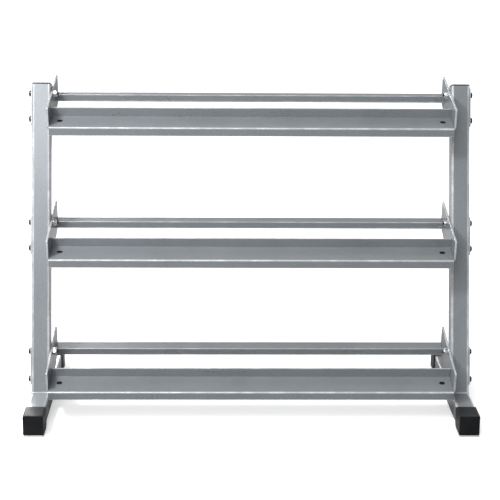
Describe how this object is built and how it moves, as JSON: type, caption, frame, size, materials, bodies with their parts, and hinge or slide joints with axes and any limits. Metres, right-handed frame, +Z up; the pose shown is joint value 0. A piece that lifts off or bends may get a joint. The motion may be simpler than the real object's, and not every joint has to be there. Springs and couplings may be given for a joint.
{
  "type": "dumbbell rack",
  "caption": "Free-standing tiered dumbbell rack: backward-leaning square-tube uprights on floor tubes, with sloping pairs of bent steel rails bolted between them.",
  "frame": {"origin": "on the floor, at the middle of the base: halfway between the two floor tubes and halfway along them", "axes": "+X to the right of a person facing the rack, along the rails; +Y from front to back, the way the uprights lean; +Z up"},
  "size_m": [1.2212, 0.57, 0.8766],
  "materials": {
    "silver_powder_coat": "silver-grey powder coat, fine satin texture",
    "black_plastic": "moulded, satin black",
    "zinc_plate": "bright zinc plating",
    "grey_nylon": "moulded, satin light grey"
  },
  "bodies": {
    "root": {"bottom_front_rail": "silver_powder_coat", "bottom_left_end_plate": "silver_powder_coat", "bottom_rear_rail": "silver_powder_coat", "bottom_right_end_plate": "silver_powder_coat", "left_base_tube": "silver_powder_coat", "left_bottom_backing_plate": "silver_powder_coat", "left_bottom_lower_bolt": "zinc_plate", "left_bottom_lower_nut": "zinc_plate", "left_bottom_upper_bolt": "zinc_plate", "left_bottom_upper_nut": "zinc_plate", "left_front_foot_cap": "black_plastic", "left_front_glide": "grey_nylon", "left_middle_backing_plate": "silver_powder_coat", "left_middle_lower_bolt": "zinc_plate", "left_middle_lower_nut": "zinc_plate", "left_middle_upper_bolt": "zinc_plate", "left_middle_upper_nut": "zinc_plate", "left_rear_foot_cap": "black_plastic", "left_rear_glide": "grey_nylon", "left_top_backing_plate": "silver_powder_coat", "left_top_cap": "black_plastic", "left_top_lower_bolt": "zinc_plate", "left_top_lower_nut": "zinc_plate", "left_top_upper_bolt": "zinc_plate", "left_top_upper_nut": "zinc_plate", "left_upright": "silver_powder_coat", "middle_front_rail": "silver_powder_coat", "middle_left_end_plate": "silver_powder_coat", "middle_rear_rail": "silver_powder_coat", "middle_right_end_plate": "silver_powder_coat", "right_base_tube": "silver_powder_coat", "right_bottom_backing_plate": "silver_powder_coat", "right_bottom_lower_bolt": "zinc_plate", "right_bottom_lower_nut": "zinc_plate", "right_bottom_upper_bolt": "zinc_plate", "right_bottom_upper_nut": "zinc_plate", "right_front_foot_cap": "black_plastic", "right_front_glide": "grey_nylon", "right_middle_backing_plate": "silver_powder_coat", "right_middle_lower_bolt": "zinc_plate", "right_middle_lower_nut": "zinc_plate", "right_middle_upper_bolt": "zinc_plate", "right_middle_upper_nut": "zinc_plate", "right_rear_foot_cap": "black_plastic", "right_rear_glide": "grey_nylon", "right_top_backing_plate": "silver_powder_coat", "right_top_cap": "black_plastic", "right_top_lower_bolt": "zinc_plate", "right_top_lower_nut": "zinc_plate", "right_top_upper_bolt": "zinc_plate", "right_top_upper_nut": "zinc_plate", "right_upright": "silver_powder_coat", "top_front_rail": "silver_powder_coat", "top_left_end_plate": "silver_powder_coat", "top_rear_rail": "silver_powder_coat", "top_right_end_plate": "silver_powder_coat"}
  },
  "joints": []
}
